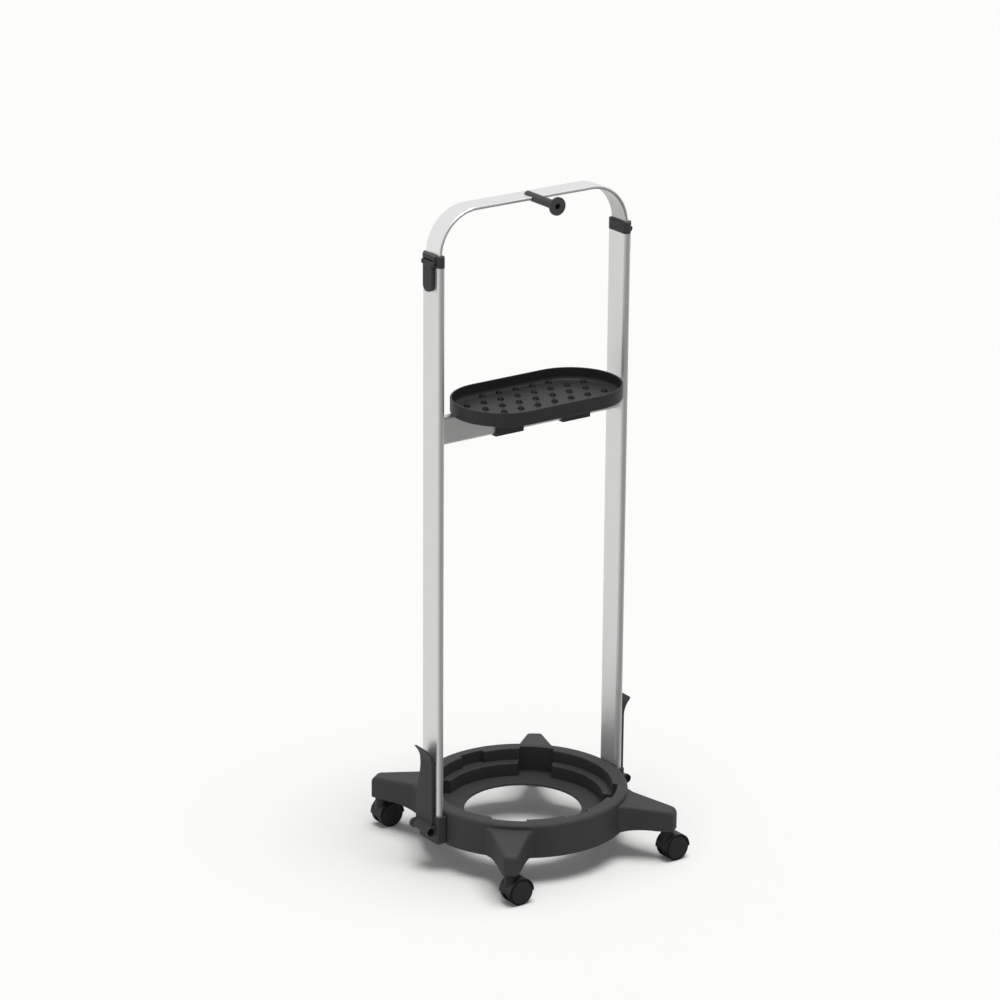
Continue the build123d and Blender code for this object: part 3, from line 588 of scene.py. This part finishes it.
def tray_cove(low, high):
    """Points and faces of the hollow where the tray's wall meets its floor: a profile carried along a slot.

    The path is the tray's inner outline, two half circles about middles that lie half the straight part to
    either side: at the angle a, middle + (radius - inwards) * (cos a, sin a). The profile is a quarter
    circle, inwards = c - c * cos b and height = c - c * sin b, closed by three corners inside the wall and
    the floor.
    """
    size = bpy.context.scene.stand.details
    bend_points, half_points = 9, 49
    centre = (low + high) / 2
    radius = (high[1] - low[1]) / 2 - size.tray_wall
    straight = (high[0] - low[0]) / 2 - size.tray_wall - radius
    bend = np.linspace(0, np.pi / 2, bend_points)
    hollow, root = size.cove, size.cove_root
    inwards = np.concatenate([hollow - hollow * np.cos(bend), [hollow, -root, -root]])
    height = np.concatenate([hollow - hollow * np.sin(bend), [-root, -root, hollow]])
    half = np.linspace(-np.pi / 2, np.pi / 2, half_points)
    angle = np.concatenate([half, half + np.pi])[:, None]
    middle = np.repeat([straight, -straight], len(half))[:, None]
    reach = radius - inwards
    points = np.stack(
        [
            centre[0] + middle + reach * np.cos(angle),
            centre[1] + reach * np.sin(angle),
            np.broadcast_to(low[2] + size.tray_floor + height, (len(angle), len(height))),
        ],
        axis=-1,
    )
    number = np.arange(points.shape[0] * points.shape[1]).reshape(points.shape[:2])
    number = np.pad(number, ((0, 1), (0, 1)), mode="wrap")
    return points.reshape(-1, 3), grid_faces(number).tolist()


def stud_tips(crowns):
    """Points and faces of silicone tips over all the studs, from the middles of the studs' tops.

    A cross-section is a square with soft corners: radius width / (|cos t|^n + |sin t|^n)^(1/n) at the angle
    t, with n as the squareness. Its half width falls as the stud's does, half base + skin - height *
    tan(taper), then turns in, over shares of the crown's width and of the skin, to one point on top. The foot
    goes a skin's thickness into the floor and ends in one point too.
    """
    size = bpy.context.scene.stand.details
    squareness, sides = 6, 24
    skin, top = size.tip_skin, size.stud_height
    foot = size.stud_base / 2 + skin
    crown = foot - top * np.tan(size.stud_taper)
    turn_in, turn_up = np.array([1, 0.8, 0.5]), np.array([0, 0.7, 0.95])
    width = np.concatenate([[foot, foot], crown * turn_in])
    height = np.concatenate([[-skin, 0], top + skin * turn_up])
    turn = np.linspace(0, 2 * np.pi, sides, endpoint=False)
    square = (np.abs(np.cos(turn)) ** squareness + np.abs(np.sin(turn)) ** squareness) ** (-1 / squareness)
    outline = np.stack([square * np.cos(turn), square * np.sin(turn)], axis=-1)
    rings = np.concatenate(
        [
            width[::-1, None, None] * outline,
            np.broadcast_to(height[::-1, None, None], (len(height), sides, 1)),
        ],
        axis=-1,
    )
    poles = np.array([[0, 0, top + skin], [0, 0, -skin]])
    tip = np.concatenate([rings.reshape(-1, 3), poles])
    floor = crowns - [0, 0, top]
    points = (floor[:, None] + tip).reshape(-1, 3)
    faces, fans = turned_faces(len(height), sides)
    start = np.arange(len(crowns))[:, None, None] * len(tip)
    return points, (faces + start).reshape(-1, 4).tolist() + (fans + start).reshape(-1, 3).tolist()


def screw_face(centre, axis, radius):
    """Points and faces of a pan head's face with a cross recess.

    A square grid u, v is drawn to a disc: x = u * sqrt(1 - v^2 / 2), y = v * sqrt(1 - u^2 / 2). Its height is
    dome * (1 - x^2 - y^2), less the recess where either arm of the cross covers it. An arm fades out over a
    tenth of the head at its edges. A second, level sheet below and a wall round both close the shape.
    """
    size = bpy.context.scene.stand.details
    count, fade = 33, 0.1
    u, v = np.meshgrid(np.linspace(-1, 1, count), np.linspace(-1, 1, count), indexing="ij")
    x, y = u * np.sqrt(1 - v**2 / 2), v * np.sqrt(1 - u**2 / 2)
    arm = size.recess_width / 2 / radius

    def covered(wide, long):
        sides = np.clip((arm - np.abs(wide)) / fade + 0.5, 0, 1)
        ends = np.clip((size.recess_reach - np.abs(long)) / fade + 0.5, 0, 1)
        return sides * ends

    cross = np.maximum(covered(x, y), covered(y, x))
    height = size.screw_dome * (1 - x**2 - y**2) - size.recess_depth * cross
    across = np.roll(axis, 1)
    flat = centre + radius * (x[..., None] * across + y[..., None] * np.cross(axis, across))
    sheets = [flat + height[..., None] * axis, flat - size.screw_rim * axis]
    points = np.concatenate([sheet.reshape(-1, 3) for sheet in sheets])
    shift = count * count
    upper = np.arange(shift).reshape(count, count)
    lower = upper + shift
    rim = np.concatenate([upper[:-1, 0], upper[-1, :-1], upper[:0:-1, -1], upper[0, :0:-1]])
    ahead = np.roll(rim, -1)
    wall = np.stack([rim + shift, ahead + shift, ahead, rim], axis=-1)
    return points, np.concatenate([grid_faces(upper), grid_faces(lower)[:, ::-1], wall]).tolist()


class STAND_OT_aluminium(Operator):
    """Finish the posts, the crossbar and the bow"""

    bl_idname = "stand.aluminium"
    bl_label = "Posts, crossbar and bow"

    def execute(self, context):
        metal = context.scene.stand.aluminium
        posts = satin_aluminium("satin_aluminium_posts", metal.colour, metal.roughness, along=(2,))
        dress(posts, *(f"{side}_post" for side in SIDES))
        bar = satin_aluminium("satin_aluminium_crossbar", metal.colour, metal.roughness, along=(0,))
        dress(bar, "crossbar")
        low, high = node_box("handle_bow")
        middle = (0.0, 0.0, high[2] - (high[0] - low[0]) / 2)
        bow = satin_aluminium(
            "bright_aluminium_bow",
            metal.bow_colour,
            metal.bow_roughness,
            along=(0, 2),
            streak=metal.polish,
            middle=middle,
        )
        dress(bow, "handle_bow")
        return {"FINISHED"}


class STAND_OT_base(Operator):
    """Finish the ring base, the foot sockets and their levers"""

    bl_idname = "stand.base"
    bl_label = "Ring base and release levers"

    def execute(self, context):
        # Polypropylene: waxy, with a broad sheen and no clear reflections
        colour = context.scene.stand.plastics.base
        shell = moulded_plastic("grained_polypropylene_base", colour, roughness=0.56, grit_depth=0.05 * MM)
        dress(shell, "base_ring")
        dress(shell, *(f"{side}_{piece}" for side in SIDES for piece in ("foot_socket", "release_lever")))
        return {"FINISHED"}


class STAND_OT_clamps(Operator):
    """Finish the collars, the clamp levers, the hose peg and the nylon shoes and bushes"""

    bl_idname = "stand.clamps"
    bl_label = "Collars, clamp levers and peg"

    def execute(self, context):
        # ABS: harder than the base, with a tighter sheen. The nylon inside is smoother still.
        plastics = context.scene.stand.plastics
        shell = moulded_plastic("grained_abs_clamps", plastics.base, roughness=0.5, grit_depth=0.04 * MM)
        dress(shell, *(f"{side}_{piece}" for side in SIDES for piece in ("collar", "clamp_lever")))
        peg = moulded_plastic("grained_abs_peg", plastics.peg, roughness=0.5, grit_depth=0.04 * MM)
        dress(peg, "hose_peg")
        nylon = moulded_plastic("moulded_nylon", plastics.nylon, roughness=0.42, grit_depth=0.02 * MM)
        dress(nylon, *(f"{side}_bow_shoe" for side in SIDES), *(f"{corner}_bush" for corner in CORNERS))
        return {"FINISHED"}


class STAND_OT_tray(Operator):
    """Finish the tray and its clips, and add the studs' tips and the cove"""

    bl_idname = "stand.tray"
    bl_label = "Tray and clips"

    def execute(self, context):
        # ABS with a shallower grit than the collars': dark, with a satin line of light along the rim
        plastics, size = context.scene.stand.plastics, context.scene.stand.details
        shell = moulded_plastic("satin_abs_tray", plastics.tray, roughness=0.46, grit_depth=0.03 * MM)
        dress(shell, "tray", *(f"{side}_tray_clip" for side in SIDES))

        # Silicone tips: the corners of each stud's top lie near one another, and their mean is its middle
        level = 0.01 * MM
        corners = node_points("tray")
        low, high = node_box("tray")
        crown = low[2] + size.tray_floor + size.stud_height
        corners = corners[np.abs(corners[:, 2] - crown) < level]
        near = np.linalg.norm(corners[:, None] - corners[None], axis=-1) < size.stud_base
        middles = near @ corners / near.sum(axis=1, keepdims=True)
        crowns = np.unique(np.round(middles, decimals=5), axis=0)
        if not len(crowns):
            raise RuntimeError("no stud tops at the height that the settings give")

        # Silicone: nearly black, and dull as rubber is
        silicone = moulded_plastic("black_silicone_tips", plastics.tips, roughness=0.55, grit_depth=0.02 * MM)
        points, faces = stud_tips(crowns)
        new_piece("tray_stud_tips", points, faces, silicone, "stand")
        points, faces = tray_cove(low, high)
        new_piece("tray_cove", points, faces, shell, "stand")
        return {"FINISHED"}


class STAND_OT_casters(Operator):
    """Finish the caster hoods and wheels, and add the wheels' caps"""

    bl_idname = "stand.casters"
    bl_label = "Casters"

    def execute(self, context):
        # Nylon hoods and caps have the clearest sheen of the plastics. Polyurethane treads are duller and
        # nearly black.
        plastics = context.scene.stand.plastics
        shell = moulded_plastic("satin_nylon_casters", plastics.caster, roughness=0.4, grit_depth=0.015 * MM)
        tread = moulded_plastic("polyurethane_treads", plastics.tread, roughness=0.5, grit_depth=0.02 * MM)
        dress(shell, *(f"{corner}_hood" for corner in CORNERS))
        for corner in CORNERS:
            for place, outwards in (("near", -1.0), ("far", 1.0)):
                wheel = f"{corner}_{place}_wheel"
                dress(tread, wheel)
                low, high = node_box(wheel)
                centre = (low + high) / 2
                centre[1] = low[1] if place == "near" else high[1]
                points, faces = wheel_cap(centre, np.array([0.0, outwards, 0.0]))
                new_piece(f"{wheel}_cap", points, faces, shell, f"{corner}_{place}_roller")
        return {"FINISHED"}


class STAND_OT_hardware(Operator):
    """Finish the pins, stems, axles and screws, and add the screws' faces"""

    bl_idname = "stand.hardware"
    bl_label = "Pins and screws"

    def execute(self, context):
        # Zinc gives a cold, light grey metal, and blackening a dark one
        colours = context.scene.stand.steel
        steel = plated_steel("zinc_plated_steel", colours.zinc)
        dress(steel, "socket_screws", "tray_screws", "peg_screw")
        black = plated_steel("blackened_steel", colours.black)
        dress(black, *(f"{side}_{pin}" for side in SIDES for pin in ("lever_pin", "clamp_pin")))
        dress(steel, *(f"{corner}_{piece}" for corner in CORNERS for piece in ("stem", "axle")))

        # Pan heads with cross recesses on the flat heads of the solids
        heads = []
        low, high = node_box("tray_screws")
        radius = context.scene.stand.details.tray_head
        for x in (low[0] + radius, high[0] - radius):
            for y in (low[1] + radius, high[1] - radius):
                heads.append(("tray", "stand", (x, y, low[2]), (0, 0, -1), radius))
        low, high = node_box("socket_screws")
        radius = (high[2] - low[2]) / 2
        inner = np.abs(node_points("socket_screws")[:, 0]).min()
        for side in (-1, 1):
            for y in (low[1] + radius, high[1] - radius):
                heads.append(("socket", "stand", (side * inner, y, low[2] + radius), (-side, 0, 0), radius))
        low, high = node_box("peg_screw")
        radius = (high[0] - low[0]) / 2
        heads.append(("peg", "handle", (low[0] + radius, low[1], low[2] + radius), (0, -1, 0), radius))
        for number, (name, body, centre, axis, radius) in enumerate(heads, 1):
            points, faces = screw_face(np.array(centre), np.array(axis, dtype=float), radius)
            new_piece(f"{name}_screw_face_{number}", points, faces, steel, body)
        return {"FINISHED"}


class STAND_OT_stage(Operator):
    """Set up the floor, the light and the camera of the photograph"""

    bl_idname = "stand.stage"
    bl_label = "Studio"

    def execute(self, context):
        settings = context.scene.stand.stage
        scene = context.scene
        scene.view_settings.view_transform = "Standard"

        # Pale floor: a matt sheet that takes the shadow. The eye sees it white, and what it throws back on
        # the stand is a little less, so that upright walls stay darker than tops. Mirrors see it bright
        # behind the stand and falling off in front, where the lit sheet ends. How far a way turns to the
        # brightest one is a cosine.
        side = settings.reach
        dimmest_turn, brightest_turn = -1.0, 0.4
        mesh = bpy.data.meshes.new("studio_floor")
        corners = [(-side, -side, 0), (side, -side, 0), (side, side, 0), (-side, side, 0)]
        mesh.from_pydata(corners, [], [(0, 1, 2, 3)])
        floor = bpy.data.objects.new("studio_floor", mesh)
        scene.collection.objects.link(floor)
        material, tree = empty_material("matt_white_floor")
        sight = add_node(tree, "ShaderNodeLightPath").outputs
        place = add_node(tree, "ShaderNodeTexCoord").outputs["Object"]
        way = add_node(tree, "ShaderNodeVectorMath", {0: place}, operation="NORMALIZE").outputs["Vector"]
        turn = add_node(
            tree, "ShaderNodeVectorMath", {0: way, 1: FLOOR_BRIGHT}, operation="DOT_PRODUCT"
        ).outputs["Value"]
        bright = add_node(
            tree,
            "ShaderNodeMapRange",
            {
                "Value": turn,
                "From Min": dimmest_turn,
                "From Max": brightest_turn,
                "To Min": settings.fade,
                "To Max": settings.sheet,
            },
            interpolation_type="SMOOTHSTEP",
        ).outputs["Result"]
        white = linear(settings.floor)
        mirrored = add_node(
            tree, "ShaderNodeMix", {0: bright, 6: (0, 0, 0, 1), 7: white}, data_type="RGBA"
        ).outputs[2]
        sheet = linear(settings.bounce)
        rays = {"Is Glossy Ray": mirrored, "Is Transmission Ray": white, "Is Camera Ray": white}
        for ray, colour in rays.items():
            sheet = add_node(
                tree, "ShaderNodeMix", {0: sight[ray], 6: sheet, 7: colour}, data_type="RGBA"
            ).outputs[2]
        lift = add_node(
            tree, "ShaderNodeMath", {0: sight["Is Camera Ray"], 1: settings.lift}, operation="MULTIPLY"
        ).outputs[0]
        matt = add_node(tree, "ShaderNodeBsdfDiffuse", {"Color": sheet}).outputs["BSDF"]
        glow = add_node(tree, "ShaderNodeEmission", {"Strength": lift}).outputs["Emission"]
        close_material(tree, add_node(tree, "ShaderNodeAddShader", {0: matt, 1: glow}).outputs[0])
        mesh.materials.append(material)

        # Room: even light on matt surfaces, white for the eye, and for mirrors bright behind and above and
        # dimmer on the camera's side
        dimmest_turn, brightest_turn = -0.5, 0.5
        world = bpy.data.worlds.new("studio")
        world.use_nodes = True
        world.node_tree.nodes.clear()
        tree = world.node_tree
        sight = add_node(tree, "ShaderNodeLightPath").outputs
        way = add_node(tree, "ShaderNodeTexCoord").outputs["Generated"]
        turn = add_node(
            tree, "ShaderNodeVectorMath", {0: way, 1: ROOM_BRIGHT}, operation="DOT_PRODUCT"
        ).outputs["Value"]
        room = add_node(
            tree,
            "ShaderNodeMapRange",
            {
                "Value": turn,
                "From Min": dimmest_turn,
                "From Max": brightest_turn,
                "To Min": settings.shade,
                "To Max": settings.glow,
            },
            interpolation_type="SMOOTHSTEP",
        ).outputs["Result"]
        lit = add_node(
            tree,
            "ShaderNodeMapRange",
            {"Value": sight["Is Glossy Ray"], "To Min": settings.sky, "To Max": room},
        ).outputs["Result"]
        seen = add_node(
            tree,
            "ShaderNodeMath",
            {0: sight["Is Camera Ray"], 1: sight["Is Transmission Ray"]},
            operation="MAXIMUM",
        ).outputs[0]
        strength = add_node(
            tree, "ShaderNodeMapRange", {"Value": seen, "To Min": lit, "To Max": 1.0}
        ).outputs["Result"]
        sky = add_node(tree, "ShaderNodeBackground", {"Color": (1, 1, 1, 1), "Strength": strength})
        add_node(tree, "ShaderNodeOutputWorld", {"Surface": sky.outputs["Background"]})
        scene.world = world

        # Lamp high over the stand, a little in front of it, so that the tray shades the well
        lamp = bpy.data.lights.new("overhead_lamp", "SUN")
        lamp.energy = settings.key
        lamp.angle = settings.spread
        overhead = bpy.data.objects.new("overhead_lamp", lamp)
        overhead.matrix_world = Matrix.Rotation(settings.lean, 4, "X")
        scene.collection.objects.link(overhead)

        # Camera that sees past the floor's far side
        sight_end = 60.0
        camera = bpy.data.objects.new("photograph_camera", bpy.data.cameras.new("photograph_camera"))
        camera.data.lens = settings.lens
        camera.data.clip_end = sight_end
        camera.matrix_world = (
            Matrix.Translation(settings.camera_place)
            @ Matrix.Rotation(-settings.azimuth, 4, "Z")
            @ Matrix.Rotation(radians(90) - settings.elevation, 4, "X")
            @ Matrix.Rotation(settings.roll, 4, "Z")
        )
        scene.collection.objects.link(camera)
        scene.camera = camera
        return {"FINISHED"}


class STAND_PT_panel(Panel):
    """Lists the steps that dress the stand"""

    bl_idname = "STAND_PT_panel"
    bl_label = "Steamer stand"
    bl_space_type = "VIEW_3D"
    bl_region_type = "UI"
    bl_category = "Stand"

    def draw(self, context):
        settings = context.scene.stand
        groups = (settings.aluminium, settings.plastics, settings.steel, settings.details, settings.stage)
        for group in groups:
            box = self.layout.box()
            for name in group.bl_rna.properties.keys():
                if name not in {"rna_type", "name"}:
                    box.prop(group, name)
        for step in STEPS:
            self.layout.operator(step.bl_idname)


STEPS = (
    STAND_OT_aluminium,
    STAND_OT_base,
    STAND_OT_clamps,
    STAND_OT_tray,
    STAND_OT_casters,
    STAND_OT_hardware,
    STAND_OT_stage,
)
GROUPS = (StandAluminium, StandPlastics, StandSteel, StandDetails, StandStage, StandSettings)
CLASSES = (*GROUPS, *STEPS, STAND_PT_panel)


def register():
    """Add the settings, the steps and the panel."""
    for item in CLASSES:
        bpy.utils.register_class(item)
    bpy.types.Scene.stand = PointerProperty(type=StandSettings)


def unregister():
    """Take them away again."""
    del bpy.types.Scene.stand
    for item in reversed(CLASSES):
        bpy.utils.unregister_class(item)


def main():
    """Dress the stand step by step."""
    register()
    for step in STEPS:
        group, name = step.bl_idname.split(".")
        getattr(getattr(bpy.ops, group), name)()


if __name__ == "__main__":
    main()
